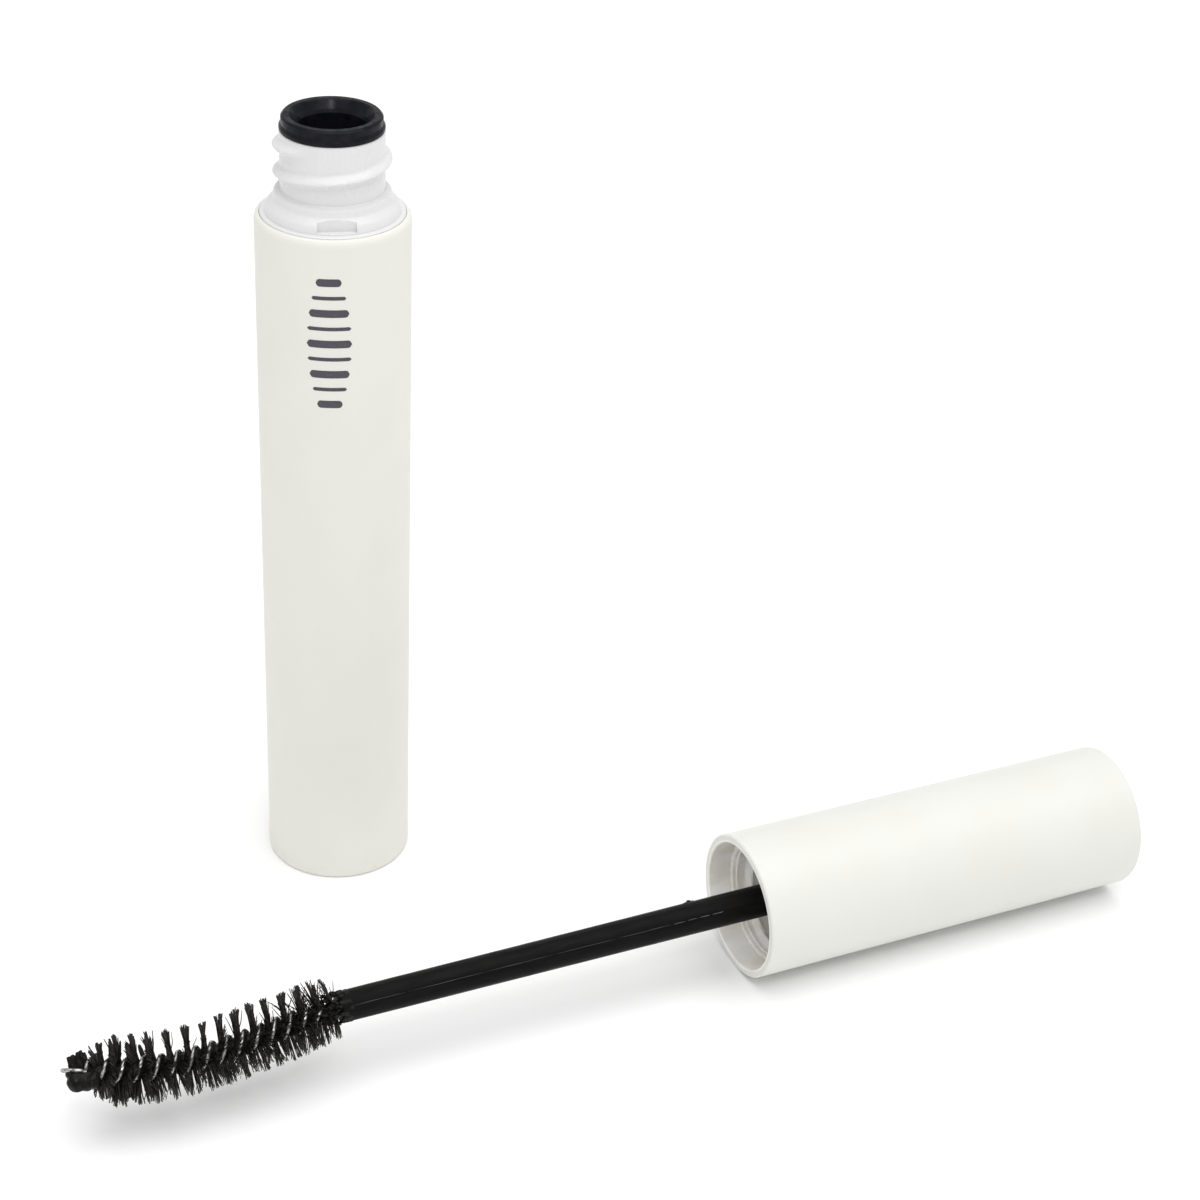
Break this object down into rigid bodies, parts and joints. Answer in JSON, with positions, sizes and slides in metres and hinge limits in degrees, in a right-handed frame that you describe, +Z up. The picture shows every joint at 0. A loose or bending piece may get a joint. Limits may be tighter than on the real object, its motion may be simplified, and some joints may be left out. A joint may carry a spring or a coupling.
{
  "type": "mascara tube",
  "caption": "Upright mascara tube with a threaded neck and wiper, and its screw cap with wand and bowed twisted-wire brush lying beside it.",
  "frame": {"origin": "centre of the bottle's base, on the surface that everything rests on", "axes": "+Z up along the bottle's axis; the applicator lies parallel to X in front of the bottle (on its -Y side), brush towards -X and closed end of the cap towards +X"},
  "size_m": [0.1292, 0.0571, 0.0941],
  "materials": {
    "sleeve_plastic": "satin",
    "bottle_plastic": "semi-gloss",
    "wiper_plastic": "wet gloss",
    "mascara": "wet",
    "stem_plastic": "satin",
    "cap_plastic": "satin",
    "insert_plastic": "gloss",
    "wire_steel": "drawn wire",
    "bristle_nylon": "coated"
  },
  "bodies": {
    "bottle": {"outer_sleeve": "sleeve_plastic", "inner_bottle": "bottle_plastic", "wiper": "wiper_plastic", "mascara_fill": "mascara"},
    "tip_dab": {"tip_product": "mascara"},
    "stem_dab": {"stem_product": "mascara"},
    "wand_stem": {"stem": "stem_plastic"},
    "cap_and_brush": {"cap_shell": "cap_plastic", "inner_cap": "insert_plastic", "brush_wire": "wire_steel", "bristles": "bristle_nylon"}
  },
  "joints": [
    {"name": "pick_up", "type": "hinge", "parent": "bottle", "child": "tip_dab", "pos_m": [-0.06188, -0.03128, 0.07722], "axis": [0.2821, -0.9169, 0.2821], "range_deg": [0, 94.96]},
    {"name": "insert", "type": "slide", "parent": "tip_dab", "child": "stem_dab", "axis": [-1, 0, 0], "range_m": [0, 0.08653], "deforming": ["bristles", "brush_wire", "tip_product", "stem_product"]},
    {"name": "thread_advance", "type": "slide", "parent": "stem_dab", "child": "wand_stem", "axis": [-1, 0, 0], "range_m": [0, 0.00338]},
    {"name": "cap_turn", "type": "hinge", "parent": "wand_stem", "child": "cap_and_brush", "pos_m": [0.0343, -0.0402, 0.00845], "axis": [-1, 0, 0], "range_deg": [0, 405]}
  ],
  "couplings": [
    {"joint": "thread_advance", "follows": "cap_turn", "m_per_rad": 0.00047746}
  ]
}
